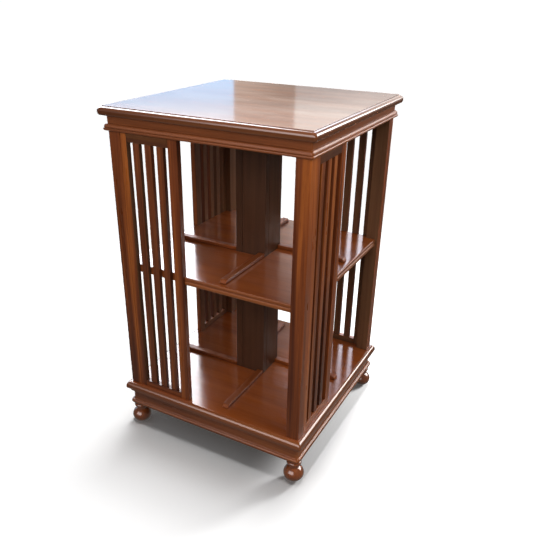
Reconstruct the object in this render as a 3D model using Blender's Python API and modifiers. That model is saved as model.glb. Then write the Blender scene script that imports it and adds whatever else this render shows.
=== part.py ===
"""Revolving bookcase: a square case with two tiers of book bays that turns on a fixed base."""

import math

import bmesh
import bpy
from mathutils import Matrix, Vector

# Driving sizes in metres. The origin is on the floor, on the axis that the case turns about.
# "Half" sizes are measured from that axis to a face.
GAP = 0.0003

# Feet
FOOT_OFFSET = 0.226
FOOT_RADIUS = 0.0245
FOOT_BALL_HEIGHT = 0.0420
FOOT_HEIGHT = 0.0610
FOOT_PAD_RADIUS = 0.009
FOOT_NECK_RADIUS = 0.0128
FOOT_STEM_RADIUS = 0.0150
FOOT_COLLAR_RADIUS = 0.0178
FOOT_COLLAR_HEIGHT = 0.0090
FOOT_COLLAR_MIDDLE = 0.0520

# Fixed base
BASE_TOP = 0.0955
BASE_FASCIA_HALF = 0.2392
BASE_BEAD_HALF = 0.2456
BASE_BEAD_HEIGHT = 0.0110
BASE_COVE_HEIGHT = 0.0085
BASE_RAIL_INNER_HALF = 0.2050
BASE_CORNER_RADIUS = 0.0080
BASE_BOARD_BOTTOM = 0.0720
BASE_BOARD_TOP = 0.0900

# Spindle and its bearings
SPINDLE_RADIUS = 0.0110
SPINDLE_TOP = 0.7970
SPINDLE_HOLE_RADIUS = 0.0130
FLANGE_RADIUS = 0.0450
FLANGE_THICKNESS = 0.0047
WASHER_RADIUS = 0.0400
WASHER_THICKNESS = 0.0029
BEARING_HOLE_RADIUS = 0.0116
BEARING_HEIGHT = 0.0330

# Bottom board of the case
BOTTOM_UNDERSIDE = 0.0985
BOTTOM_TOP = 0.1265
BOTTOM_FIELD_HALF = 0.2425
BOTTOM_EDGE_HALF = 0.2515
BOTTOM_NOSE_HEIGHT = 0.1130
BOTTOM_COVE_HALF = 0.2430

# Posts and slatted panels, seen from outside a face with its panel at the left
CASE_HALF = 0.2388
POST_WIDTH = 0.0308
POST_ROUND = 0.0035
POST_TOP = 0.7712
PANEL_SETBACK = 0.0012
PANEL_THICKNESS = 0.0150
STILE_JOINT = -0.1925
SLAT_SPAN_END = -0.0840
PANEL_END = -0.0605
SLAT_COUNT = 3
SLAT_WIDTH = 0.0168
SLAT_THICKNESS = 0.0112
SLAT_SETBACK = 0.0024
TOP_RAIL_HEIGHT = 0.0205
BOTTOM_RAIL_HEIGHT = 0.0160

# Middle shelf
SHELF_TOP = 0.4625
SHELF_THICKNESS = 0.0195
SHELF_HALF = 0.2323
SHELF_REED_DEPTH = 0.0022

# Column
COLUMN_HALF = 0.0403
COLUMN_BOARD = 0.0180

# Book stops
STOP_WIDTH = 0.0165
STOP_HEIGHT = 0.0095
STOP_END = 0.2190
STOP_SLOPE = 0.0045

# Frieze
FRIEZE_TOP = 0.8037
FRIEZE_HALF = 0.2400
FRIEZE_MOULDING_HALF = 0.2472
FRIEZE_MOULDING_TOP = 0.7864
FRIEZE_OVOLO_HALF = 0.2456
FRIEZE_BEAD_HEIGHT = 0.0066
FRIEZE_INNER_HALF = 0.2100
FRIEZE_CORNER_RADIUS = 0.0040

# Top board
TOP_HEIGHT = 0.8230
TOP_FIELD_HALF = 0.2440
TOP_EDGE_HALF = 0.2540
TOP_NOSE_HEIGHT = 0.8125
TOP_UNDER_HALF = 0.2505
TOP_QUIRK = 0.0018
TOP_CORNER_RADIUS = 0.0050

SOFT_ARRIS = 0.0010
ARC_STEPS = 8
ROUND_STEPS = 32
SIDES = ("front", "right", "back", "left")
CORNERS = ("front_left", "front_right", "back_right", "back_left")

WOOD_CASE = ("mahogany_case", (0.215, 0.070, 0.030), 0.28, 0.0)
WOOD_PANEL = ("mahogany_panel", (0.205, 0.066, 0.028), 0.30, 0.0)
WOOD_TOP = ("mahogany_top", (0.185, 0.060, 0.030), 0.20, 0.0)
WOOD_COLUMN = ("mahogany_column", (0.105, 0.045, 0.025), 0.35, 0.0)
WOOD_FOOT = ("mahogany_turned", (0.220, 0.072, 0.032), 0.25, 0.0)
WOOD_PLAIN = ("plain_hardwood", (0.300, 0.180, 0.095), 0.60, 0.0)
IRON = ("iron", (0.090, 0.088, 0.085), 0.45, 1.0)
BRASS = ("brass", (0.620, 0.430, 0.180), 0.35, 1.0)


def clear_scene():
    for obj in list(bpy.data.objects):
        bpy.data.objects.remove(obj, do_unlink=True)
    for collection in list(bpy.data.collections):
        bpy.data.collections.remove(collection)


def make_collection(name):
    collection = bpy.data.collections.new(name)
    bpy.context.scene.collection.children.link(collection)
    return collection


def make_material(look):
    name, color, roughness, metallic = look
    found = bpy.data.materials.get(name)
    if found:
        return found
    material = bpy.data.materials.new(name)
    material.use_nodes = True
    shader = material.node_tree.nodes["Principled BSDF"]
    shader.inputs["Base Color"].default_value = (*color, 1.0)
    shader.inputs["Roughness"].default_value = roughness
    shader.inputs["Metallic"].default_value = metallic
    return material


def make_empty(name, collection):
    empty = bpy.data.objects.new(name, None)
    collection.objects.link(empty)
    return empty


def add_object(name, mesh, look, parent, turn=0):
    """Links a mesh as a named piece, turned by quarter turns about the spindle axis."""
    obj = bpy.data.objects.new(name, mesh)
    parts.objects.link(obj)
    obj.parent = parent
    obj.rotation_euler.z = math.radians(90 * turn)
    if not mesh.materials:
        mesh.materials.append(make_material(look))
    return obj


def evaluated_mesh(obj):
    """Takes the mesh that an object's modifiers or curve give, welds it and drops the object."""
    graph = bpy.context.evaluated_depsgraph_get()
    mesh = bpy.data.meshes.new_from_object(obj.evaluated_get(graph))
    work = bmesh.new()
    work.from_mesh(mesh)
    bmesh.ops.remove_doubles(work, verts=work.verts, dist=1e-6)
    bmesh.ops.recalc_face_normals(work, faces=work.faces)
    work.to_mesh(mesh)
    work.free()
    bpy.data.objects.remove(obj, do_unlink=True)
    return mesh


def soften(obj, width=SOFT_ARRIS, segments=2):
    bevel = obj.modifiers.new("soft arrises", "BEVEL")
    bevel.width = width
    bevel.segments = segments
    bevel.limit_method = "ANGLE"
    bevel.angle_limit = math.radians(50)
    return bevel


def box_mesh(name, low, high):
    """A plain box between two corners."""
    low = Vector(low)
    high = Vector(high)
    work = bmesh.new()
    bmesh.ops.create_cube(work, size=1.0)
    bmesh.ops.scale(work, vec=high - low, verts=work.verts)
    bmesh.ops.translate(work, vec=(low + high) / 2, verts=work.verts)
    mesh = bpy.data.meshes.new(name)
    work.to_mesh(mesh)
    work.free()
    return mesh


def outline_mesh(name, points, thickness):
    """A flat outline in the XY plane, thickened evenly to both sides of it."""
    curve = bpy.data.curves.new(name, "CURVE")
    curve.dimensions = "2D"
    curve.fill_mode = "BOTH"
    curve.extrude = thickness / 2
    spline = curve.splines.new("POLY")
    spline.points.add(len(points) - 1)
    for point, (x, y) in zip(spline.points, points):
        point.co = (x, y, 0.0, 1.0)
    spline.use_cyclic_u = True
    obj = bpy.data.objects.new(name, curve)
    bpy.context.scene.collection.objects.link(obj)
    return evaluated_mesh(obj)


def turned_mesh(name, profile, steps, closed=False):
    """Turns a profile of (radius, height) points, given from top to bottom, about the Z axis."""
    work = bmesh.new()
    verts = [work.verts.new((radius, 0.0, height)) for radius, height in profile]
    for first, second in zip(verts, verts[1:]):
        work.edges.new((first, second))
    if closed:
        work.edges.new((verts[-1], verts[0]))
    mesh = bpy.data.meshes.new(name)
    work.to_mesh(mesh)
    work.free()
    obj = bpy.data.objects.new(name, mesh)
    bpy.context.scene.collection.objects.link(obj)
    screw = obj.modifiers.new("turn", "SCREW")
    screw.steps = steps
    screw.render_steps = steps
    screw.use_merge_vertices = True
    screw.merge_threshold = 1e-5
    return evaluated_mesh(obj)


def square_mesh(name, profile, corner_radius, round_from, closed=False):
    """Runs a profile of (half width, height) points round a square with rounded mitres."""
    profile = [(half * math.sqrt(2), height) for half, height in profile]
    mesh = turned_mesh(name, profile, 4, closed)
    mesh.transform(Matrix.Rotation(math.radians(45), 4, "Z"))
    weights = mesh.attributes.new("bevel_weight_edge", "FLOAT", "EDGE")
    for edge in mesh.edges:
        ends = [mesh.vertices[index].co for index in edge.vertices]
        on_mitre = all(abs(abs(co.x) - abs(co.y)) < 1e-5 for co in ends)
        same_corner = (ends[0].xy - ends[1].xy).length < 0.05
        outside = all(abs(co.x) > round_from for co in ends)
        weights.data[edge.index].value = float(on_mitre and same_corner and outside)
    obj = bpy.data.objects.new(name, mesh)
    bpy.context.scene.collection.objects.link(obj)
    bevel = obj.modifiers.new("round mitres", "BEVEL")
    bevel.limit_method = "WEIGHT"
    bevel.width = corner_radius
    bevel.segments = 4
    return evaluated_mesh(obj)


def mitred_side(mesh, name):
    """Keeps the front quarter of a square ring, cut along both mitres."""
    work = bmesh.new()
    work.from_mesh(mesh)
    for sign in (-1, 1):
        geometry = work.verts[:] + work.edges[:] + work.faces[:]
        sliced = bmesh.ops.bisect_plane(
            work,
            geom=geometry,
            plane_co=(0.0, -GAP / math.sqrt(2), 0.0),
            plane_no=(sign, 1.0, 0.0),
            clear_outer=True,
        )
        edges = [item for item in sliced["geom_cut"] if isinstance(item, bmesh.types.BMEdge)]
        bmesh.ops.holes_fill(work, edges=edges, sides=0)
    bmesh.ops.recalc_face_normals(work, faces=work.faces)
    side = bpy.data.meshes.new(name)
    work.to_mesh(side)
    work.free()
    return side


def arc(center, radii, start, end, steps=ARC_STEPS):
    """Points along an elliptical arc; angles in degrees, 0 outward and 90 up."""
    points = []
    for step in range(steps + 1):
        angle = math.radians(start + (end - start) * step / steps)
        x = center[0] + radii[0] * math.cos(angle)
        z = center[1] + radii[1] * math.sin(angle)
        points.append((x, z))
    return points


def add_cutter(name, mesh):
    cutter = bpy.data.objects.new(name, mesh)
    cutters.objects.link(cutter)
    cutter.hide_render = True
    cutter.display_type = "WIRE"
    return cutter


def cut(obj, cutter):
    boolean = obj.modifiers.new("cut " + cutter.name, "BOOLEAN")
    boolean.operation = "DIFFERENCE"
    boolean.object = cutter
    boolean.solver = "EXACT"


def hole_cutter(name, radius, low, high):
    profile = [(0.0, high), (radius, high), (radius, low), (0.0, low)]
    return add_cutter(name, turned_mesh(name, profile, ROUND_STEPS))


def smooth(mesh, angle=35):
    mesh.shade_smooth()
    mesh.set_sharp_from_angle(angle=math.radians(angle))


def build_feet(parent):
    ball_center = FOOT_BALL_HEIGHT / 2
    ball_radii = (FOOT_RADIUS, FOOT_BALL_HEIGHT / 2)
    neck_angle = math.degrees(math.acos(FOOT_NECK_RADIUS / FOOT_RADIUS))
    pad_angle = math.degrees(math.acos(FOOT_PAD_RADIUS / FOOT_RADIUS))
    ball = arc((0.0, ball_center), ball_radii, neck_angle, -pad_angle, 16)
    pad_height = ball[-1][1]
    top = FOOT_HEIGHT - GAP
    collar_radius = FOOT_COLLAR_HEIGHT / 2
    collar_center = (FOOT_COLLAR_RADIUS - collar_radius, FOOT_COLLAR_MIDDLE)
    profile = [(0.0, top), (FOOT_STEM_RADIUS, top)]
    profile += [(FOOT_STEM_RADIUS, FOOT_COLLAR_MIDDLE + collar_radius)]
    profile += arc(collar_center, (collar_radius, collar_radius), 90, -90)
    profile += ball
    profile += [(0.0, pad_height)]
    profile = [(radius, (height - pad_height) * top / (top - pad_height)) for radius, height in profile]
    mesh = turned_mesh("bun foot", profile, ROUND_STEPS)
    smooth(mesh)
    for turn, corner in enumerate(CORNERS):
        foot = add_object("foot_" + corner, mesh, WOOD_FOOT, parent)
        spot = Matrix.Rotation(math.radians(90 * turn), 3, "Z") @ Vector((-FOOT_OFFSET, -FOOT_OFFSET, 0.0))
        foot.location = spot


def build_base_rails(parent):
    bead_middle = FOOT_HEIGHT + BASE_BEAD_HEIGHT / 2
    bead_top = FOOT_HEIGHT + BASE_BEAD_HEIGHT
    bead_depth = (BASE_BEAD_HALF - BASE_FASCIA_HALF) * 0.65
    bead_back = BASE_BEAD_HALF - bead_depth
    cove_center = (bead_back, bead_top + BASE_COVE_HEIGHT)
    cove = arc(cove_center, (bead_back - BASE_FASCIA_HALF, BASE_COVE_HEIGHT), 180, 270, 5)
    bead = arc((bead_back, bead_middle), (bead_depth, BASE_BEAD_HEIGHT / 2), 90, -90, ARC_STEPS)
    profile = [(BASE_RAIL_INNER_HALF, BASE_TOP), (BASE_FASCIA_HALF, BASE_TOP)]
    profile += cove[:-1] + bead
    profile += [(BASE_RAIL_INNER_HALF, FOOT_HEIGHT)]
    ring = square_mesh("base ring", profile, BASE_CORNER_RADIUS, BASE_RAIL_INNER_HALF + 0.01, closed=True)
    mesh = mitred_side(ring, "base rail")
    smooth(mesh)
    for turn, side in enumerate(SIDES):
        add_object("base_rail_" + side, mesh, WOOD_CASE, parent, turn)


def build_spindle(parent):
    half = BASE_RAIL_INNER_HALF - GAP
    mesh = box_mesh("base board", (-half, -half, BASE_BOARD_BOTTOM), (half, half, BASE_BOARD_TOP))
    board = add_object("base_board", mesh, WOOD_PLAIN, parent)
    socket_low = BASE_BOARD_BOTTOM - 0.01
    socket_high = BASE_BOARD_TOP + 0.01
    cut(board, hole_cutter("spindle socket", SPINDLE_RADIUS + 0.0005, socket_low, socket_high))
    flange_low = BASE_BOARD_TOP + GAP
    flange_top = flange_low + FLANGE_THICKNESS
    profile = [
        (0.0, SPINDLE_TOP),
        (SPINDLE_RADIUS - 0.002, SPINDLE_TOP),
        (SPINDLE_RADIUS, SPINDLE_TOP - 0.002),
        (SPINDLE_RADIUS, flange_top),
        (FLANGE_RADIUS - 0.001, flange_top),
        (FLANGE_RADIUS, flange_top - 0.001),
        (FLANGE_RADIUS, flange_low),
        (SPINDLE_RADIUS, flange_low),
        (SPINDLE_RADIUS, BASE_BOARD_BOTTOM + 0.001),
        (0.0, BASE_BOARD_BOTTOM + 0.001),
    ]
    mesh = turned_mesh("spindle", profile, ROUND_STEPS)
    smooth(mesh)
    add_object("spindle", mesh, IRON, parent)
    washer_low = flange_top + GAP
    washer_top = washer_low + WASHER_THICKNESS
    profile = [
        (SPINDLE_HOLE_RADIUS, washer_top),
        (WASHER_RADIUS, washer_top),
        (WASHER_RADIUS, washer_low),
        (SPINDLE_HOLE_RADIUS, washer_low),
    ]
    mesh = turned_mesh("thrust washer", profile, ROUND_STEPS, closed=True)
    smooth(mesh)
    add_object("thrust_washer", mesh, BRASS, parent)


def build_bottom_board(parent):
    quirk_height = BOTTOM_TOP - 0.0012
    nose_low = BOTTOM_NOSE_HEIGHT - 0.0030
    ovolo_center = (BOTTOM_FIELD_HALF, BOTTOM_NOSE_HEIGHT)
    ovolo_radii = (BOTTOM_EDGE_HALF - BOTTOM_FIELD_HALF, quirk_height - BOTTOM_NOSE_HEIGHT)
    lip = BOTTOM_EDGE_HALF - 0.0018
    cove_center = (lip, BOTTOM_UNDERSIDE)
    cove_radii = (lip - BOTTOM_COVE_HALF, nose_low - 0.0015 - BOTTOM_UNDERSIDE)
    profile = [(0.0, BOTTOM_TOP), (BOTTOM_FIELD_HALF, BOTTOM_TOP)]
    profile += arc(ovolo_center, ovolo_radii, 90, 0)
    profile += arc((lip, nose_low), (0.0018, 0.0015), 0, -90, 3)
    profile += arc(cove_center, cove_radii, 90, 180, 5)[1:]
    profile += [(0.0, BOTTOM_UNDERSIDE)]
    mesh = square_mesh("bottom board", profile, 0.0030, BOTTOM_FIELD_HALF - 0.001)
    smooth(mesh)
    board = add_object("bottom_board", mesh, WOOD_CASE, parent)
    cut(board, hole_cutter("bottom hole", SPINDLE_HOLE_RADIUS, BOTTOM_UNDERSIDE - 0.01, BOTTOM_TOP + 0.01))


def build_posts(parent):
    """Each post stands at the left end of its face, with the outer stile of that panel on it."""
    outer = -CASE_HALF
    inner = outer + POST_WIDTH
    face = outer + PANEL_SETBACK
    back = outer + PANEL_THICKNESS
    round_center = outer + POST_ROUND
    points = [(inner, outer), (inner, face), (STILE_JOINT, face), (STILE_JOINT, back)]
    points += [(inner, back), (inner, inner), (outer, inner)]
    points += arc((round_center, round_center), (POST_ROUND, POST_ROUND), 180, 270, 4)
    low = BOTTOM_TOP + GAP
    high = POST_TOP - GAP
    mesh = outline_mesh("corner post", points, high - low)
    mesh.transform(Matrix.Translation((0.0, 0.0, (low + high) / 2)))
    for turn, corner in enumerate(CORNERS):
        post = add_object("corner_post_" + corner, mesh, WOOD_PANEL, parent, turn)
        soften(post)


def build_panels(parent):
    """The inner stile, the two rails and the slats of the panel on each face."""
    low = BOTTOM_TOP + GAP
    high = POST_TOP - GAP
    face = -CASE_HALF + PANEL_SETBACK
    back = -CASE_HALF + PANEL_THICKNESS
    rail_low = low + BOTTOM_RAIL_HEIGHT
    rail_high = high - TOP_RAIL_HEIGHT
    rail_start = STILE_JOINT + GAP
    rail_end = SLAT_SPAN_END - GAP
    slat_face = face + SLAT_SETBACK
    space = (SLAT_SPAN_END - STILE_JOINT - SLAT_COUNT * SLAT_WIDTH) / (SLAT_COUNT + 1)
    stile = box_mesh("inner stile", (SLAT_SPAN_END, face, low), (PANEL_END, back, high))
    bottom = box_mesh("bottom rail", (rail_start, face, low), (rail_end, back, rail_low))
    top = box_mesh("top rail", (rail_start, face, rail_high), (rail_end, back, high))
    slats = []
    for index in range(SLAT_COUNT):
        start = STILE_JOINT + space + index * (SLAT_WIDTH + space)
        slat_low = (start, slat_face, rail_low + GAP)
        slat_high = (start + SLAT_WIDTH, slat_face + SLAT_THICKNESS, rail_high - GAP)
        slats.append(box_mesh("slat", slat_low, slat_high))
    for turn, side in enumerate(SIDES):
        soften(add_object("inner_stile_" + side, stile, WOOD_PANEL, parent, turn))
        soften(add_object("panel_bottom_rail_" + side, bottom, WOOD_PANEL, parent, turn))
        soften(add_object("panel_top_rail_" + side, top, WOOD_PANEL, parent, turn))
        for index, slat in enumerate(slats):
            name = "slat_{}_{}".format(side, index + 1)
            soften(add_object(name, slat, WOOD_PANEL, parent, turn))


def build_shelf(parent):
    """One board with two reeds along its front edges, let in round posts, panels and column."""
    reed = SHELF_THICKNESS / 4
    upper = SHELF_TOP - reed
    lower = SHELF_TOP - 3 * reed
    low = SHELF_TOP - SHELF_THICKNESS
    back = SHELF_HALF - SHELF_REED_DEPTH
    profile = [(0.0, SHELF_TOP)]
    profile += arc((back, upper), (SHELF_REED_DEPTH, reed), 90, -90)
    profile += arc((back, lower), (SHELF_REED_DEPTH, reed), 90, -90)[1:]
    profile += [(0.0, low)]
    mesh = square_mesh("middle shelf", profile, 0.0010, SHELF_HALF)
    smooth(mesh, 50)
    shelf = add_object("middle_shelf", mesh, WOOD_CASE, parent)
    reach = CASE_HALF + 0.01
    panel_back = -CASE_HALF + PANEL_THICKNESS + GAP
    post_back = -CASE_HALF + POST_WIDTH + GAP
    notch_end = PANEL_END + GAP
    notch = [(-reach, -reach), (notch_end, -reach), (notch_end, panel_back), (post_back, panel_back)]
    notch += [(post_back, post_back), (-reach, post_back)]
    middle = SHELF_TOP - SHELF_THICKNESS / 2
    for turn, corner in enumerate(CORNERS):
        mesh = outline_mesh("notch", notch, 3 * SHELF_THICKNESS)
        mesh.transform(Matrix.Translation((0.0, 0.0, middle)))
        mesh.transform(Matrix.Rotation(math.radians(90 * turn), 4, "Z"))
        cut(shelf, add_cutter("notch " + corner, mesh))
    hole = COLUMN_HALF + GAP
    mesh = box_mesh("column hole", (-hole, -hole, low - 0.01), (hole, hole, SHELF_TOP + 0.01))
    cut(shelf, add_cutter("column hole", mesh))


def build_column(parent):
    """Four boards in pinwheel, each covering the end of the next."""
    start = -COLUMN_HALF + COLUMN_BOARD + GAP
    inside = -COLUMN_HALF + COLUMN_BOARD
    low = BOTTOM_TOP + GAP
    high = FRIEZE_TOP - GAP
    mesh = box_mesh("column board", (start, -COLUMN_HALF, low), (COLUMN_HALF, inside, high))
    for turn, side in enumerate(SIDES):
        soften(add_object("column_board_" + side, mesh, WOOD_COLUMN, parent, turn), 0.0007, 1)
    half = COLUMN_HALF - COLUMN_BOARD - GAP
    bearing_low = high - BEARING_HEIGHT
    mesh = box_mesh("spindle bearing", (-half, -half, bearing_low), (half, half, high))
    block = add_object("spindle_bearing", mesh, WOOD_PLAIN, parent)
    cut(block, hole_cutter("bearing hole", BEARING_HOLE_RADIUS, bearing_low - 0.01, high + 0.01))


def build_stops(parent):
    """Low strips that end the bays, flush with the column and sloped at their outer end."""
    start = COLUMN_HALF + GAP
    points = [(start, 0.0), (STOP_END, 0.0), (STOP_END, STOP_HEIGHT * 0.35)]
    points += [(STOP_END - STOP_SLOPE, STOP_HEIGHT), (start, STOP_HEIGHT)]
    upright = Matrix.Rotation(math.radians(90), 4, "X")
    outward = Matrix.Rotation(math.radians(-90), 4, "Z")
    for tier, height in (("middle", SHELF_TOP), ("bottom", BOTTOM_TOP)):
        mesh = outline_mesh("book stop", points, STOP_WIDTH)
        place = Matrix.Translation((COLUMN_HALF - STOP_WIDTH / 2, 0.0, height + GAP))
        mesh.transform(place @ outward @ upright)
        for turn, side in enumerate(SIDES):
            stop = add_object("{}_stop_{}".format(tier, side), mesh, WOOD_CASE, parent, turn)
            soften(stop, 0.0018, 2)


def build_frieze(parent):
    bead_radius = FRIEZE_BEAD_HEIGHT / 2
    bead_back = FRIEZE_MOULDING_HALF - bead_radius
    ovolo_low = POST_TOP + FRIEZE_BEAD_HEIGHT + 0.0006
    ovolo_radii = (FRIEZE_OVOLO_HALF - FRIEZE_HALF, FRIEZE_MOULDING_TOP - ovolo_low)
    ovolo = arc((FRIEZE_HALF, ovolo_low), ovolo_radii, 90, 0, 6)
    bead = arc((bead_back, POST_TOP + bead_radius), (bead_radius, bead_radius), 90, -90)
    top = FRIEZE_TOP - GAP
    profile = [(FRIEZE_INNER_HALF, top), (FRIEZE_HALF, top)]
    profile += ovolo + bead
    profile += [(FRIEZE_INNER_HALF, POST_TOP)]
    ring = square_mesh("frieze ring", profile, FRIEZE_CORNER_RADIUS, FRIEZE_INNER_HALF + 0.01, closed=True)
    mesh = mitred_side(ring, "frieze rail")
    smooth(mesh)
    for turn, side in enumerate(SIDES):
        add_object("frieze_rail_" + side, mesh, WOOD_CASE, parent, turn)


def build_top(parent):
    quirk_height = TOP_HEIGHT - TOP_QUIRK
    ovolo_center = (TOP_FIELD_HALF + 0.0004, TOP_NOSE_HEIGHT)
    ovolo_radii = (TOP_EDGE_HALF - TOP_FIELD_HALF - 0.0004, quirk_height - TOP_NOSE_HEIGHT)
    return_center = (TOP_UNDER_HALF, TOP_NOSE_HEIGHT)
    return_radii = (TOP_EDGE_HALF - TOP_UNDER_HALF, TOP_NOSE_HEIGHT - FRIEZE_TOP)
    profile = [(0.0, TOP_HEIGHT), (TOP_FIELD_HALF - 0.0004, TOP_HEIGHT)]
    profile += [(TOP_FIELD_HALF, TOP_HEIGHT - 0.0004), (TOP_FIELD_HALF, quirk_height)]
    profile += arc(ovolo_center, ovolo_radii, 90, 0, 10)
    profile += arc(return_center, return_radii, 0, -90, 6)[1:]
    profile += [(0.0, FRIEZE_TOP)]
    mesh = square_mesh("top board", profile, TOP_CORNER_RADIUS, TOP_FIELD_HALF + 0.0001)
    smooth(mesh)
    add_object("top_board", mesh, WOOD_TOP, parent)


clear_scene()
parts = make_collection("revolving bookcase")
cutters = make_collection("cutters")
base = make_empty("base_axis", parts)
case = make_empty("case_turn_axis", parts)
build_feet(base)
build_base_rails(base)
build_spindle(base)
build_bottom_board(case)
build_posts(case)
build_panels(case)
build_shelf(case)
build_column(case)
build_stops(case)
build_frieze(case)
build_top(case)
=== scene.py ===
"""Looks for the revolving bookcase: polished mahogany, a pale floor and soft studio light."""

import math

import bpy
from mathutils import Matrix, Vector


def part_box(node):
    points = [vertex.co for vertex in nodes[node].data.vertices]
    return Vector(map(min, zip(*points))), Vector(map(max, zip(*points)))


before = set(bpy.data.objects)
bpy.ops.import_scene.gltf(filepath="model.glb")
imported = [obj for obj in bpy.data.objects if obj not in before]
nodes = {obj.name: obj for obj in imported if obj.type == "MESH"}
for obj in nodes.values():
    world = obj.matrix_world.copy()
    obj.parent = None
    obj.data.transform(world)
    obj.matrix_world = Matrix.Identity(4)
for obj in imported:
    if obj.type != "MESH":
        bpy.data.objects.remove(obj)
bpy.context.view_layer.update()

WHITE = (1.0, 1.0, 1.0, 1.0)

# Camera, from the photograph's perspective, in metres, degrees and millimetres
CAMERA_PLACE = (0.6851, -1.2427, 1.0466)
CAMERA_AZIMUTH = 28.880
CAMERA_ELEVATION = 26.221
CAMERA_ROLL = 0.576
CAMERA_LENS = 40.090
CAMERA_SENSOR = 36.0
CAMERA_SHIFT = (0.0313, 0.0267)
CAMERA_REACH = 1000.0

# Smooth shading: steeper edges stay sharp, and points this close in metres are joined
SMOOTH_ANGLE = math.radians(50)
WELD_DISTANCE = 1e-5

# Timber colours, linear: dark streaks, body and light streaks
PANEL_TONE = ((0.072, 0.016, 0.005), (0.192, 0.047, 0.012), (0.385, 0.108, 0.022))
SLAT_TONE = ((0.065, 0.016, 0.005), (0.170, 0.044, 0.013), (0.340, 0.098, 0.022))
# The panels' top rails are darker: painted shadow of the frieze
RAIL_SHADOW_TONE = ((0.035, 0.010, 0.004), (0.088, 0.028, 0.010), (0.170, 0.062, 0.018))
# Faces inside the case are greyer: painted shade of the interior
SHADED_INSIDE_TONE = ((0.068, 0.031, 0.017), (0.145, 0.067, 0.035), (0.215, 0.099, 0.051))
# The frieze is lighter than the case: painted light under the overhang of the top
FRIEZE_LIT_TONE = ((0.117, 0.033, 0.012), (0.247, 0.073, 0.024), (0.342, 0.115, 0.037))
CASE_TONE = ((0.105, 0.028, 0.010), (0.225, 0.064, 0.020), (0.330, 0.108, 0.032))
# Board tops are lighter and warmer than their edges: the wood's own tone and painted light
SHELF_LIT_TONE = ((0.150, 0.034, 0.009), (0.320, 0.078, 0.019), (0.450, 0.124, 0.029))
STOP_TONE = ((0.105, 0.025, 0.008), (0.235, 0.060, 0.016), (0.340, 0.098, 0.026))
TOP_TONE = ((0.060, 0.016, 0.006), (0.130, 0.038, 0.013), (0.200, 0.066, 0.022))
# The column is very dark: its own dark wood and painted shade deep in the case
COLUMN_SHADED_TONE = ((0.036, 0.015, 0.008), (0.077, 0.033, 0.018), (0.113, 0.048, 0.025))
FOOT_TONE = ((0.080, 0.018, 0.006), (0.200, 0.050, 0.014), (0.300, 0.085, 0.024))
PLAIN_TONE = ((0.180, 0.100, 0.048), (0.300, 0.185, 0.095), (0.380, 0.250, 0.140))

# Finishes: colours, figure contrast, roughness, IOR, coat, worn arrises, unevenness, dusty haze
FINISHES = {
    "panel": (PANEL_TONE, 1.6, 0.34, 1.42, 0.0, 0.40, 0.8, 0.0),
    "slat": (SLAT_TONE, 1.4, 0.34, 1.42, 0.0, 0.30, 0.8, 0.0),
    "rail": (RAIL_SHADOW_TONE, 1.2, 0.38, 1.38, 0.0, 0.25, 0.8, 0.0),
    "inside": (SHADED_INSIDE_TONE, 0.6, 0.55, 1.22, 0.0, 0.10, 0.8, 0.0),
    "case": (CASE_TONE, 1.1, 0.30, 1.48, 0.0, 0.40, 0.8, 0.0),
    "frieze": (FRIEZE_LIT_TONE, 0.9, 0.36, 1.31, 0.0, 0.40, 0.6, 0.0),
    "moulding": (CASE_TONE, 0.8, 0.16, 1.50, 0.3, 0.40, 0.4, 0.0),
    "lip": (CASE_TONE, 0.8, 0.36, 1.36, 0.0, 0.40, 0.4, 0.0),
    "nose": (TOP_TONE, 0.8, 0.15, 1.50, 0.4, 0.30, 0.3, 0.0),
    "shelf": (SHELF_LIT_TONE, 0.45, 0.15, 1.50, 0.0, 0.15, 0.4, 0.04),
    "stop": (STOP_TONE, 0.45, 0.36, 1.25, 0.0, 0.30, 0.4, 0.0),
    "top": (TOP_TONE, 1.2, 0.08, 1.50, 0.0, 0.25, 0.3, 0.30),
    "column": (COLUMN_SHADED_TONE, 0.7, 0.42, 1.34, 0.0, 0.15, 1.0, 0.0),
    "foot": (FOOT_TONE, 0.8, 0.14, 1.50, 0.5, 0.25, 0.5, 0.0),
    "plain": (PLAIN_TONE, 1.0, 0.60, 1.40, 0.0, 0.20, 1.0, 0.0),
}
DUST = (0.42, 0.37, 0.34)
COAT_ROUGHNESS = 0.10
COAT_IOR = 1.50
# The finish of each piece, by the start of its name
PIECE_FINISH = {
    "foot": "foot",
    "base_rail": "case",
    "base_board": "plain",
    "bottom_board": "shelf",
    "corner_post": "panel",
    "inner_stile": "panel",
    "panel_bottom_rail": "panel",
    # top rails take the darker tone: painted shadow of the frieze
    "panel_top_rail": "rail",
    "slat": "slat",
    "middle_shelf": "shelf",
    "middle_stop": "stop",
    "bottom_stop": "stop",
    "column_board": "column",
    "spindle_bearing": "plain",
    # the frieze takes the lighter tone: painted light
    "frieze_rail": "frieze",
    "top_board": "top",
}
# Metal pieces: material name, colour and roughness
METALS = {
    "spindle": ("dark iron", (0.16, 0.155, 0.15), 0.45),
    "thrust_washer": ("old brass", (0.62, 0.43, 0.18), 0.35),
}

# Noise in the materials: features to the metre across and along the grain, detail, roughness, distortion
BROAD_NOISE = (7.0, 0.9, 3.0, 0.55, 0.6)
RIBBON_NOISE = (52.0, 1.3, 2.0, 0.5, 0.3)
FIBRE_NOISE = (300.0, 6.0, 2.0, 0.5)
PORE_NOISE = (950.0, 26.0, 1.0, 0.5)
FILM_NOISE = (22.0, 5.0, 4.0, 0.65, 0.8)
POLISH_NOISE = (40.0, 6.0, 3.0, 0.6)
WAVE_NOISE = (14.0, 5.0, 1.0)
TARNISH_NOISE = (120.0, 120.0, 4.0, 0.6)

# Figure: how far it moves from piece to piece, shares of its layers, middle and half width of the streaks
GRAIN_SHIFT = (3.7, 5.3, 2.9)
RIBBON_SHARE = 0.55
BROAD_SHARE = 0.35
FIBRE_SHARE = 0.20
FIGURE_MIDDLE = 0.55
FIGURE_SPREAD = 0.18
PORE_SHARE = 0.35

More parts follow.
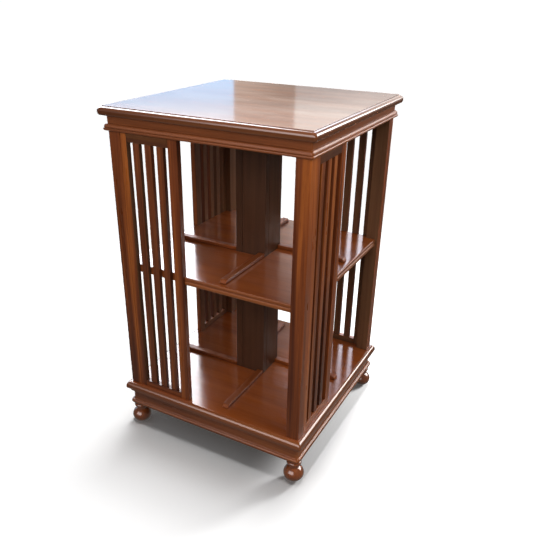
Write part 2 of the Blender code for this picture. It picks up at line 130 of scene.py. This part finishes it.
# Levels, from low and high in to low and high out where all four are given
PORE_LEVELS = (0.62, 0.74)
FILM_LEVELS = (0.42, 0.68)
GLOSS_LEVELS = (0.3, 0.7)
TARNISH_LEVELS = (0.35, 0.65)
# The next levels darken the colour deep in the case: painted shade
SHADE_LEVELS = (0.10, 0.60, 0.55, 1.0)
PIECE_LEVELS = (0.0, 1.0, 0.92, 1.08)
ARRIS_LEVELS = (0.99, 0.86)
RUB_LEVELS = (0.35, 0.65, 0.3, 1.0)
# The next levels darken corners and recesses: painted shade
CORNER_SHADE_LEVELS = (0.15, 0.75, 0.40, 0.0)

# Reach in metres and samples of the painted shade deep in the case and in corners, and of the rubbed arrises
SHADE_REACH = (0.35, 5)
CORNER_SHADE_REACH = (0.010, 6)
ARRIS_REACH = (0.0022, 6)

# Roughness between these shares of its plain value, darkness of tarnish, heights of the relief in metres
WOOD_GLOSS = (0.75, 1.3)
METAL_GLOSS = (0.7, 1.4)
TARNISH_SHARE = 0.45
FINE_RELIEF = 0.00003
WAVE_RELIEF = 0.0006
RELIEF_STRENGTH = 0.6

# Pieces with a moulded edge: its finish, grain and the upward part of the face normals that marks it
MOULDED_EDGES = {
    "frieze_rail": ("lip", None, (0.05, 2.0)),
    "top_board": ("nose", "edge", (-2.0, 0.97)),
    "bottom_board": ("moulding", "edge", (-2.0, 0.97)),
    "middle_shelf": ("lip", "edge", (-2.0, 0.97)),
}
# Pieces whose faces towards the middle are duller and greyer with painted shade, and how far from the axis
# those start
DULL_SHADED_INSIDES = ("corner_post", "inner_stile", "panel_bottom_rail", "panel_top_rail", "slat")
INSIDE_DEPTH = 0.15

# Floor and even fill: size in metres, share of light thrown back, own glow to the camera, roughness
FLOOR_SIZE = 600.0
FLOOR_BOUNCE = (0.16, 0.16, 0.16)
FLOOR_GLOW = 0.03
FLOOR_ROUGHNESS = 0.9
FILL_STRENGTH = 0.16

# Surround that only the polish mirrors, by degrees left of +Y and degrees above its centre
SURROUND_RADIUS = 6.0
SURROUND_CENTRE = 0.8
SURROUND_HEIGHTS = (-7.5, 90.0, 131)
SURROUND_COLUMNS = (104, 5, 75)
FIELD_GAP = 0.12
REST_GLOW = (0.26, 0.24, 0.22)
# High cards: outer and inner edges of their sides and heights, and their glow
HIGH_CARDS = (
    ((31.0, 36.0, 72.0, 84.0), (13.0, 18.0, 46.0, 56.0), (15.0, 15.3, 16.2)),
    ((6.0, 10.0, 20.5, 22.5), (15.0, 19.0, 42.0, 52.0), (5.4, 5.5, 6.4)),
    ((-60.0, -50.0, -22.0, -16.0), (5.0, 9.0, 44.0, 50.0), (13.0, 12.8, 12.6)),
)
# Fields near the horizon, cool, dim and warm from left to right: edges, and glow below and above the heights
COOL_EDGE = 31.8
DIM_EDGE = 24.9
HORIZON_SIDES = (-30.0, -5.0, 78.0, 92.0)
HORIZON_ENDS = (-9.0, -8.0, 14.0, 30.0)
HORIZON_HEIGHTS = (8.6, 11.4)
COOL_GLOW = ((1.02, 1.42, 1.94), (1.76, 1.84, 2.04))
DIM_GLOW = ((0.58, 0.46, 0.39), (1.44, 1.12, 0.98))
WARM_GLOW = ((0.76, 0.70, 0.67), (2.02, 1.85, 1.72))
# The dim and the warm field's plain share, what they gain low down, and between which sides
DIM_GAIN = (0.88, 0.55, (DIM_EDGE, COOL_EDGE))
WARM_GAIN = (1.0, 0.30, (DIM_EDGE, 16.0))
# Card in front: outer and inner edges, heights where its glow changes, and both glows
FRONT_SIDES = (136.0, 156.0, 196.0, 210.0)
FRONT_HEIGHTS = (-2.0, 6.0, 34.0, 46.0)
FRONT_CHANGE = (20.0, 40.0)
FRONT_GLOW = ((5.0, 4.7, 4.7), (5.6, 5.3, 5.2))
# Mirrored ground: rows and columns, height in metres, and glow straight below and further out
GROUND_HEIGHTS = (-90.0, -7.6, 12)
GROUND_SIDES = (0.0, 360.0, 49)
GROUND_LIFT = 0.001
GROUND_CHANGE = (-86.0, -72.0)
GROUND_GLOW = ((0.25, 0.235, 0.215), (0.08, 0.07, 0.06))

# Skylight in parts, which make the shadow long at the front and short at the sides: strengths and leans
SKY_ANGLE = 9.0
SKY_SIDEWAYS = 0.03
SKY_STRENGTHS = (0.78, 1.14, 0.78)
SKY_LEANS = (-0.26, -0.115, 0.03)
# Lamps: place, what they point at, size in metres, watts and colour
LAMPS = {
    "front": ((0.32, -1.60, 1.35), (0.0, 0.0, 0.6), 0.9, 15.0, (1.0, 0.96, 0.88)),
    "right": ((1.35, -0.20, 1.55), (0.0, 0.0, 0.5), 0.8, 9.0, (1.0, 0.94, 0.74)),
    "side": ((1.35, -0.20, 1.55), (0.0, 0.0, 0.5), 0.8, 7.0, (1.0, 0.94, 0.74)),
    "left": ((-1.7, 0.8, 1.7), (0.0, 0.0, 0.5), 1.0, 9.0, (1.0, 1.0, 1.0)),
    "low": ((0.85, 1.10, 0.50), (0.3, 0.0, 0.0), 0.35, 22.0, (1.0, 1.0, 1.0)),
}
# Boards that only the front lamp, the right lamp and the even fill reach
BOARDS = ("bottom_board", "middle_shelf", "middle_stop", "bottom_stop")
# More pieces that the side and left lamps leave out
SIDE_UNLIT = ("frieze_rail_right", "column_board")


class Tree:
    """Short ways to add and link nodes in one node tree."""

    def __init__(self, tree):
        self.tree = tree

    def add(self, kind, **values):
        node = self.tree.nodes.new(kind)
        for name, value in values.items():
            setattr(node, name, value)
        return node

    def link(self, source, target):
        self.tree.links.new(source, target)

    def feed(self, socket, value):
        """Links another socket or sets a plain value."""
        if isinstance(value, bpy.types.NodeSocket):
            self.link(value, socket)
        else:
            socket.default_value = value

    def math(self, operation, first, second=0.0):
        node = self.add("ShaderNodeMath", operation=operation)
        self.feed(node.inputs[0], first)
        self.feed(node.inputs[1], second)
        return node.outputs[0]

    def times(self, first, second):
        return self.math("MULTIPLY", first, second)

    def spread(self, value, low, high, to_low=0.0, to_high=1.0):
        node = self.add("ShaderNodeMapRange")
        self.feed(node.inputs["Value"], value)
        node.inputs["From Min"].default_value = low
        node.inputs["From Max"].default_value = high
        node.inputs["To Min"].default_value = to_low
        node.inputs["To Max"].default_value = to_high
        return node.outputs["Result"]

    def mix(self, factor, first, second):
        node = self.add("ShaderNodeMix", data_type="RGBA")
        self.feed(node.inputs["Factor"], factor)
        self.feed(node.inputs[6], first)
        self.feed(node.inputs[7], second)
        return node.outputs[2]

    def noise(self, place, across, along, detail=2.0, roughness=0.5, distortion=0.0):
        """Noise stretched along the grain; across and along are features to the metre."""
        scale = self.add("ShaderNodeVectorMath", operation="MULTIPLY")
        self.link(place, scale.inputs[0])
        scale.inputs[1].default_value = (across, across, along)
        node = self.add("ShaderNodeTexNoise")
        self.link(scale.outputs[0], node.inputs["Vector"])
        node.inputs["Scale"].default_value = 1.0
        node.inputs["Detail"].default_value = detail
        node.inputs["Roughness"].default_value = roughness
        node.inputs["Distortion"].default_value = distortion
        return node.outputs["Fac"]


def color(rgb):
    return (*rgb, 1.0)


def new_material(name):
    material = bpy.data.materials.new(name)
    material.use_nodes = True
    material.node_tree.nodes.clear()
    tree = Tree(material.node_tree)
    shader = tree.add("ShaderNodeBsdfPrincipled")
    output = tree.add("ShaderNodeOutputMaterial")
    tree.link(shader.outputs[0], output.inputs["Surface"])
    return material, tree, shader


def grain_order(tree, split, axis):
    """The three coordinates in turn, ending with the one along the grain."""
    join = tree.add("ShaderNodeCombineXYZ")
    order = {"X": "YZX", "Y": "ZXY", "Z": "XYZ"}[axis]
    for socket, letter in zip(join.inputs, order):
        tree.link(split.outputs[letter], socket)
    return join.outputs[0]


def edge_order(tree, split):
    """Grain along the edge of a board: along Y on faces that look to the side, and else along X."""
    facing = tree.add("ShaderNodeSeparateXYZ")
    tree.link(tree.add("ShaderNodeTexCoord").outputs["Normal"], facing.inputs[0])
    sideways = tree.math("ABSOLUTE", facing.outputs["X"])
    forward = tree.math("ABSOLUTE", facing.outputs["Y"])
    pick = tree.add("ShaderNodeMix", data_type="VECTOR")
    tree.link(tree.math("GREATER_THAN", sideways, forward), pick.inputs["Factor"])
    tree.link(grain_order(tree, split, "X"), pick.inputs[4])
    tree.link(grain_order(tree, split, "Y"), pick.inputs[5])
    return pick.outputs[1]


def grain_place(tree, axis):
    """Rest coordinates, shifted from piece to piece, with the grain along the third number."""
    where = tree.add("ShaderNodeTexCoord").outputs["Object"]
    piece = tree.add("ShaderNodeObjectInfo").outputs["Random"]
    shift = tree.add("ShaderNodeVectorMath", operation="SCALE")
    shift.inputs[0].default_value = GRAIN_SHIFT
    tree.link(piece, shift.inputs["Scale"])
    moved = tree.add("ShaderNodeVectorMath", operation="ADD")
    tree.link(where, moved.inputs[0])
    tree.link(shift.outputs[0], moved.inputs[1])
    split = tree.add("ShaderNodeSeparateXYZ")
    tree.link(moved.outputs[0], split.inputs[0])
    if axis == "edge":
        return edge_order(tree, split), piece
    return grain_order(tree, split, axis), piece


def openness(tree, reach, samples, levels):
    """A value from how open the surroundings of a point are within the reach."""
    node = tree.add("ShaderNodeAmbientOcclusion", samples=samples)
    node.inputs["Distance"].default_value = reach
    return tree.spread(node.outputs["AO"], *levels)


def edge_mask(tree, radius, samples):
    """High where the surface turns over within the radius, as on an arris."""
    bevel = tree.add("ShaderNodeBevel", samples=samples)
    bevel.inputs["Radius"].default_value = radius
    normal = tree.add("ShaderNodeNewGeometry").outputs["Normal"]
    dot = tree.add("ShaderNodeVectorMath", operation="DOT_PRODUCT")
    tree.link(bevel.outputs[0], dot.inputs[0])
    tree.link(normal, dot.inputs[1])
    return tree.spread(dot.outputs["Value"], *ARRIS_LEVELS)


def streaks(tree, broad, ribbon, fibre, tone, figure):
    """Colours along the grain from dark to light; more figure gives harder streaks."""
    coarse = tree.math("ADD", tree.times(ribbon, RIBBON_SHARE), tree.times(broad, BROAD_SHARE))
    value = tree.math("ADD", coarse, tree.times(fibre, FIBRE_SHARE))
    ramp = tree.add("ShaderNodeValToRGB")
    tree.link(value, ramp.inputs["Fac"])
    stops = ramp.color_ramp.elements
    stops[0].position = FIGURE_MIDDLE - FIGURE_SPREAD / figure
    stops[0].color = tone[0]
    stops[1].position = FIGURE_MIDDLE + FIGURE_SPREAD / figure
    stops[1].color = tone[2]
    stops.new(FIGURE_MIDDLE).color = tone[1]
    return ramp.outputs["Color"]


def aged_and_shaded(tree, grained, piece, broad, tone, wear):
    """Painted shade deep in the case and in corners, a little different on each piece, rubbed on arrises."""
    # painted shade: darker where the case closes round a point
    shade = openness(tree, *SHADE_REACH, SHADE_LEVELS)
    shaded_and_tinted = tree.add("ShaderNodeHueSaturation")
    tree.link(tree.times(shade, tree.spread(piece, *PIECE_LEVELS)), shaded_and_tinted.inputs["Value"])
    tree.link(grained, shaded_and_tinted.inputs["Color"])
    edges = tree.times(edge_mask(tree, *ARRIS_REACH), tree.spread(broad, *RUB_LEVELS))
    rubbed = tree.mix(tree.times(edges, wear), shaded_and_tinted.outputs["Color"], tone[2])
    # painted shade in corners, creases and recesses
    corner_shade = openness(tree, *CORNER_SHADE_REACH, CORNER_SHADE_LEVELS)
    return tree.mix(corner_shade, rubbed, tone[0])


def dusty(tree, base, place, haze):
    """A patchy film of dust over the polish."""
    film = tree.spread(tree.noise(place, *FILM_NOISE), *FILM_LEVELS, 0.0, haze)
    return tree.mix(film, base, color(DUST))


def set_gloss(tree, shader, noise, roughness, shares):
    """Roughness that the noise moves between two shares of its plain value."""
    limits = [roughness * share for share in shares]
    tree.link(tree.spread(noise, *GLOSS_LEVELS, *limits), shader.inputs["Roughness"])


def set_relief(tree, shader, place, fibre, pores, uneven):
    """Shallow waves in the polish, raised fibres and sunk pores."""
    wave = tree.noise(place, *WAVE_NOISE)
    relief = tree.math("ADD", tree.times(fibre, FINE_RELIEF), tree.times(wave, WAVE_RELIEF * uneven))
    bump = tree.add("ShaderNodeBump")
    bump.inputs["Strength"].default_value = RELIEF_STRENGTH
    bump.inputs["Distance"].default_value = 1.0
    tree.link(tree.math("SUBTRACT", relief, tree.times(pores, FINE_RELIEF)), bump.inputs["Height"])
    tree.link(bump.outputs[0], shader.inputs["Normal"])


def wood(name, axis, tone, figure, roughness, ior, coat, wear, uneven, haze):
    """Polished mahogany with broad figure, ribbon stripes, fibres, dark pores, rubbed arrises and painted
    shade.
    """
    tone = [color(rgb) for rgb in tone]
    material, tree, shader = new_material(name)
    place, piece = grain_place(tree, axis)
    broad = tree.noise(place, *BROAD_NOISE)
    ribbon = tree.noise(place, *RIBBON_NOISE)
    fibre = tree.noise(place, *FIBRE_NOISE)
    pores = tree.spread(tree.noise(place, *PORE_NOISE), *PORE_LEVELS, 0.0, PORE_SHARE * figure)
    grained = tree.mix(pores, streaks(tree, broad, ribbon, fibre, tone, figure), tone[0])
    finished = aged_and_shaded(tree, grained, piece, broad, tone, wear)
    if haze:
        finished = dusty(tree, finished, place, haze)
    tree.link(finished, shader.inputs["Base Color"])
    set_gloss(tree, shader, tree.noise(place, *POLISH_NOISE), roughness, WOOD_GLOSS)
    shader.inputs["IOR"].default_value = ior
    shader.inputs["Coat Weight"].default_value = coat
    shader.inputs["Coat Roughness"].default_value = COAT_ROUGHNESS
    shader.inputs["Coat IOR"].default_value = COAT_IOR
    set_relief(tree, shader, place, fibre, pores, uneven)
    return material


def metal(name, rgb, roughness):
    """Worn metal with patchy tarnish."""
    material, tree, shader = new_material(name)
    where = tree.add("ShaderNodeTexCoord").outputs["Object"]
    patches = tree.noise(where, *TARNISH_NOISE)
    dull = color([TARNISH_SHARE * part for part in rgb])
    tarnished = tree.mix(tree.spread(patches, *TARNISH_LEVELS), color(rgb), dull)
    tree.link(tarnished, shader.inputs["Base Color"])
    set_gloss(tree, shader, patches, roughness, METAL_GLOSS)
    shader.inputs["Metallic"].default_value = 1.0
    return material


def grain_axis(name):
    """Long pieces have the grain along their length, square boards along X."""
    low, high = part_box(name)
    sizes = list(high - low)
    longest = sizes.index(max(sizes))
    return "XYZ"[longest]


def facing_between(tree, low, high):
    """Picks faces by the upward part of their normals."""
    split = tree.add("ShaderNodeSeparateXYZ")
    tree.link(tree.add("GeometryNodeInputNormal").outputs[0], split.inputs[0])
    above = tree.math("GREATER_THAN", split.outputs["Z"], low)
    below = tree.math("LESS_THAN", split.outputs["Z"], high)
    return tree.times(above, below)


def facing_axis(tree, depth):
    """Picks upright faces that look towards the middle of the case from at least this far away."""
    level = tree.add("ShaderNodeVectorMath", operation="MULTIPLY")
    tree.link(tree.add("GeometryNodeInputPosition").outputs[0], level.inputs[0])
    level.inputs[1].default_value = (1.0, 1.0, 0.0)
    dot = tree.add("ShaderNodeVectorMath", operation="DOT_PRODUCT")
    tree.link(level.outputs[0], dot.inputs[0])
    tree.link(tree.add("GeometryNodeInputNormal").outputs[0], dot.inputs[1])
    return tree.math("LESS_THAN", dot.outputs["Value"], -depth)


def smooth_group(name, second=None, rule=None, *limits):
    """Shades the faceted solids smooth; the faces that the rule picks take a second material."""
    group = bpy.data.node_groups.new(name, "GeometryNodeTree")
    group.interface.new_socket("Geometry", in_out="INPUT", socket_type="NodeSocketGeometry")
    group.interface.new_socket("Geometry", in_out="OUTPUT", socket_type="NodeSocketGeometry")
    tree = Tree(group)
    clean = tree.add("GeometryNodeRemoveAttribute")
    clean.inputs["Name"].default_value = "custom_normal"
    weld = tree.add("GeometryNodeMergeByDistance")
    weld.inputs["Distance"].default_value = WELD_DISTANCE
    faces = tree.add("GeometryNodeSetShadeSmooth", domain="FACE")
    edges = tree.add("GeometryNodeSetShadeSmooth", domain="EDGE")
    edges.inputs["Shade Smooth"].default_value = False
    angle = tree.add("GeometryNodeInputMeshEdgeAngle")
    sharp = tree.math("GREATER_THAN", angle.outputs["Unsigned Angle"], SMOOTH_ANGLE)
    tree.link(sharp, edges.inputs["Selection"])
    chain = [tree.add("NodeGroupInput"), clean, weld, faces, edges]
    if second:
        chain.append(tree.add("GeometryNodeSetMaterial"))
        chain[-1].inputs["Material"].default_value = second
        tree.link(rule(tree, *limits), chain[-1].inputs["Selection"])
    chain.append(tree.add("NodeGroupOutput"))
    for before, after in zip(chain, chain[1:]):
        tree.link(before.outputs[0], after.inputs[0])
    return group


def timber(finish, axis, looks):
    """A wood material, made once for each finish and grain direction."""
    key = finish + "_timber_" + axis.lower()
    if key not in looks:
        looks[key] = wood(key, axis, *FINISHES[finish])
    return looks[key]


def piece_look(name, looks):
    """The main material of one piece."""
    if name in METALS:
        return metal(*METALS[name])
    finish = next(PIECE_FINISH[start] for start in PIECE_FINISH if name.startswith(start))
    return timber(finish, grain_axis(name), looks)


def dress_nodes():
    """Gives each solid smooth shading and its materials."""
    looks = {}
    plain_group = smooth_group("smooth by angle")
    for name, obj in nodes.items():
        obj.data.materials.clear()
        obj.data.materials.append(piece_look(name, looks))
        shade = obj.modifiers.new("smooth shading", "NODES")
        shade.node_group = plain_group
        for start, (finish, grain, range_z) in MOULDED_EDGES.items():
            if name.startswith(start):
                edge = timber(finish, grain or grain_axis(name), looks)
                shade.node_group = smooth_group("moulded " + name, edge, facing_between, *range_z)
        # faces towards the middle take the greyer inside tone: painted shade
        if name.startswith(DULL_SHADED_INSIDES):
            inside = timber("inside", grain_axis(name), looks)
            shade.node_group = smooth_group("dull inside " + name, inside, facing_axis, INSIDE_DEPTH)
        weighted = obj.modifiers.new("flat faces", "WEIGHTED_NORMAL")
        weighted.keep_sharp = True


def set_camera():
    """Puts the camera where the photograph was taken from, with its roll and shift."""
    azimuth = math.radians(CAMERA_AZIMUTH)
    elevation = math.radians(CAMERA_ELEVATION)
    level = math.cos(elevation)
    back = Vector((math.sin(azimuth) * level, -math.cos(azimuth) * level, math.sin(elevation)))
    right = Vector((0.0, 0.0, 1.0)).cross(back).normalized()
    up = back.cross(right)
    roll = Matrix.Rotation(math.radians(CAMERA_ROLL), 3, back)
    right = roll @ right
    up = roll @ up
    data = bpy.data.cameras.new("camera")
    data.lens = CAMERA_LENS
    data.sensor_width = CAMERA_SENSOR
    data.shift_x, data.shift_y = CAMERA_SHIFT
    data.clip_end = CAMERA_REACH
    camera = bpy.data.objects.new("camera", data)
    rotation = Matrix((right, up, back)).transposed().to_4x4()
    camera.matrix_world = Matrix.Translation(CAMERA_PLACE) @ rotation
    bpy.context.scene.collection.objects.link(camera)
    bpy.context.scene.camera = camera


def seen_or_mirrored(tree):
    """One for camera, mirror and transmission rays, zero for the rays that carry light."""
    path = tree.add("ShaderNodeLightPath")
    seen = tree.math("MAXIMUM", path.outputs["Is Camera Ray"], path.outputs["Is Glossy Ray"])
    return tree.math("MAXIMUM", seen, path.outputs["Is Transmission Ray"])


def background(tree, strength):
    node = tree.add("ShaderNodeBackground")
    node.inputs["Color"].default_value = WHITE
    node.inputs["Strength"].default_value = strength
    return node.outputs[0]


def set_world():
    """Dim even fill for the light, white for what the camera sees."""
    world = bpy.data.worlds.new("studio")
    bpy.context.scene.world = world
    world.use_nodes = True
    world.node_tree.nodes.clear()
    tree = Tree(world.node_tree)
    fill = background(tree, FILL_STRENGTH)
    white = background(tree, 1.0)
    mix = tree.add("ShaderNodeMixShader")
    tree.link(seen_or_mirrored(tree), mix.inputs[0])
    tree.link(fill, mix.inputs[1])
    tree.link(white, mix.inputs[2])
    output = tree.add("ShaderNodeOutputWorld")
    tree.link(mix.outputs[0], output.inputs["Surface"])


def make_floor():
    """A floor that shows white to the camera where no shadow falls, and throws back less light."""
    bpy.ops.mesh.primitive_plane_add(size=FLOOR_SIZE)
    floor = bpy.context.object
    floor.name = "floor"
    material, tree, shader = new_material("pale floor")
    seen = seen_or_mirrored(tree)
    tree.link(tree.mix(seen, color(FLOOR_BOUNCE), WHITE), shader.inputs["Base Color"])
    shader.inputs["Roughness"].default_value = FLOOR_ROUGHNESS
    shader.inputs["Specular IOR Level"].default_value = 0.0
    shader.inputs["Emission Color"].default_value = WHITE
    tree.link(tree.times(seen, FLOOR_GLOW), shader.inputs["Emission Strength"])
    floor.data.materials.append(material)
    return floor


def ease(value, low, high):
    """Smooth step from 0 at low to 1 at high, which may be the smaller number."""
    part = min(max((value - low) / (high - low), 0.0), 1.0)
    return part * part * (3.0 - 2.0 * part)


def blend(part, first, second):
    return tuple(a + (b - a) * part for a, b in zip(first, second))


def between(value, edges):
    """One between the two middle edges, falling to zero at the outer ones."""
    return ease(value, edges[0], edges[1]) * (1.0 - ease(value, edges[2], edges[3]))


def field_glow(azimuth, rise, glows, plain, gain, sides):
    """A field's glow, which gains low down from one side to the other."""
    shade = plain + gain * ease(azimuth, *sides) * (1.0 - rise)
    return tuple(shade * part for part in blend(rise, *glows))


def horizon_glow(azimuth, elevation):
    """The cool, dim and warm fields near the horizon."""
    rise = ease(elevation, *HORIZON_HEIGHTS)
    if azimuth > COOL_EDGE:
        return blend(rise, *COOL_GLOW)
    if azimuth > DIM_EDGE:
        return field_glow(azimuth, rise, DIM_GLOW, *DIM_GAIN)
    return field_glow(azimuth, rise, WARM_GLOW, *WARM_GAIN)


def surround_glow(azimuth, elevation):
    """Fields near the horizon, high cards above them, a card in front and a dim rest."""
    near_horizon = between(azimuth, HORIZON_SIDES) * between(elevation, HORIZON_ENDS)
    glow = blend(near_horizon, REST_GLOW, horizon_glow(azimuth, elevation))
    for sides, heights, bright in HIGH_CARDS:
        glow = blend(between(azimuth, sides) * between(elevation, heights), glow, bright)
    front = blend(ease(elevation, *FRONT_CHANGE), *FRONT_GLOW)
    in_front = between(azimuth % 360.0, FRONT_SIDES) * between(elevation, FRONT_HEIGHTS)
    return blend(in_front, glow, front)


def ground_glow(_, elevation):
    """The floor near the object, straight below the surround's centre, is brighter than the rest."""
    return blend(ease(elevation, *GROUND_CHANGE), *GROUND_GLOW)


def mirror_card(name, mesh):
    """An emitting sheet that only mirror rays meet; its colours are in the mesh's glow attribute."""
    material = bpy.data.materials.new(name)
    material.use_nodes = True
    material.node_tree.nodes.clear()
    material.cycles.emission_sampling = "NONE"
    tree = Tree(material.node_tree)
    emission = tree.add("ShaderNodeEmission")
    glow = tree.add("ShaderNodeAttribute", attribute_name="glow")
    tree.link(glow.outputs["Color"], emission.inputs["Color"])
    output = tree.add("ShaderNodeOutputMaterial")
    tree.link(emission.outputs[0], output.inputs["Surface"])
    mesh.materials.append(material)
    card = bpy.data.objects.new(name, mesh)
    bpy.context.scene.collection.objects.link(card)
    for kind in ("camera", "diffuse", "transmission", "volume_scatter", "shadow"):
        setattr(card, "visible_" + kind, False)


def sphere_point(azimuth, elevation):
    turn = math.radians(azimuth)
    rise = math.radians(elevation)
    level = SURROUND_RADIUS * math.cos(rise)
    height = SURROUND_CENTRE + SURROUND_RADIUS * math.sin(rise)
    return (-level * math.sin(turn), level * math.cos(turn), height)


def patch_mesh(name, azimuths, elevations, glow):
    """Part of a sphere round the object, with a colour at each corner."""
    corners = [(azimuth, elevation) for elevation in elevations for azimuth in azimuths]
    wide = len(azimuths)
    faces = []
    for row in range(len(elevations) - 1):
        for column in range(wide - 1):
            first = row * wide + column
            faces.append((first, first + 1, first + wide + 1, first + wide))
    mesh = bpy.data.meshes.new(name)
    mesh.from_pydata([sphere_point(*corner) for corner in corners], [], faces)
    layer = mesh.color_attributes.new("glow", "FLOAT_COLOR", "POINT")
    for item, corner in zip(layer.data, corners):
        item.color = color(glow(*corner))
    return mesh


def steps(low, high, count):
    return [low + (high - low) * index / (count - 1) for index in range(count)]


def set_surround():
    """Stands the mirrored cards round the object and a mirrored ground on the floor."""
    edges = [-180.0, DIM_EDGE, COOL_EDGE, 180.0]
    azimuths = []
    for low, high, count in zip(edges, edges[1:], SURROUND_COLUMNS):
        azimuths += steps(low + FIELD_GAP, high - FIELD_GAP, count)
    azimuths.append(azimuths[0] + 360.0)
    mirror_card("surround", patch_mesh("surround", azimuths, steps(*SURROUND_HEIGHTS), surround_glow))
    ground = patch_mesh("ground", steps(*GROUND_SIDES), steps(*GROUND_HEIGHTS), ground_glow)
    for vertex in ground.vertices:
        vertex.co.z = GROUND_LIFT
    mirror_card("ground", ground)


def add_lamp(name, kind, strength, rgb=(1.0, 1.0, 1.0)):
    data = bpy.data.lights.new(name, kind)
    data.energy = strength
    data.color = rgb
    lamp = bpy.data.objects.new(name, data)
    lamp.visible_camera = False
    lamp.visible_glossy = False
    bpy.context.scene.collection.objects.link(lamp)
    return lamp


def aim(lamp, towards):
    lamp.rotation_euler = Vector(towards).to_track_quat("-Z", "Y").to_euler()


def area_lamp(name, place, target, size, watts, rgb):
    lamp = add_lamp(name, "AREA", watts, rgb)
    lamp.data.shape = "DISK"
    lamp.data.size = size
    lamp.location = place
    aim(lamp, Vector(target) - Vector(place))
    return lamp


def sun_lamp(strength, lean):
    lamp = add_lamp("skylight", "SUN", strength)
    lamp.data.angle = math.radians(SKY_ANGLE)
    aim(lamp, (SKY_SIDEWAYS, lean, -1.0))
    return lamp


def link_light(name, lamps, objects, state):
    """Keeps the lamps' light to some objects, or off them."""
    group = bpy.data.collections.new(name)
    for obj in objects:
        group.objects.link(obj)
    for member in group.collection_objects:
        member.light_linking.link_state = state
    for lamp in lamps:
        lamp.light_linking.receiver_collection = group


def pieces(starts):
    return [obj for name, obj in nodes.items() if name.startswith(starts)]


def set_lamps(floor):
    """The skylight throws the shadow, four lamps light the case and a low lamp only the floor."""
    sky = [sun_lamp(*part) for part in zip(SKY_STRENGTHS, SKY_LEANS)]
    lamps = {name: area_lamp(name + " lamp", *numbers) for name, numbers in LAMPS.items()}
    boards = pieces(BOARDS)
    side_unlit = [floor] + boards + pieces(SIDE_UNLIT)
    link_light("not lit by the skylight", sky, boards, "EXCLUDE")
    link_light("not lit by the front and right lamps", [lamps["front"], lamps["right"]], [floor], "EXCLUDE")
    link_light("not lit by the side lamps", [lamps["side"], lamps["left"]], side_unlit, "EXCLUDE")
    link_light("lit by the low lamp", [lamps["low"]], [floor], "INCLUDE")


dress_nodes()
set_camera()
set_world()
set_surround()
set_lamps(make_floor())
bpy.context.scene.view_settings.view_transform = "Standard"

bpy.context.view_layer.update()
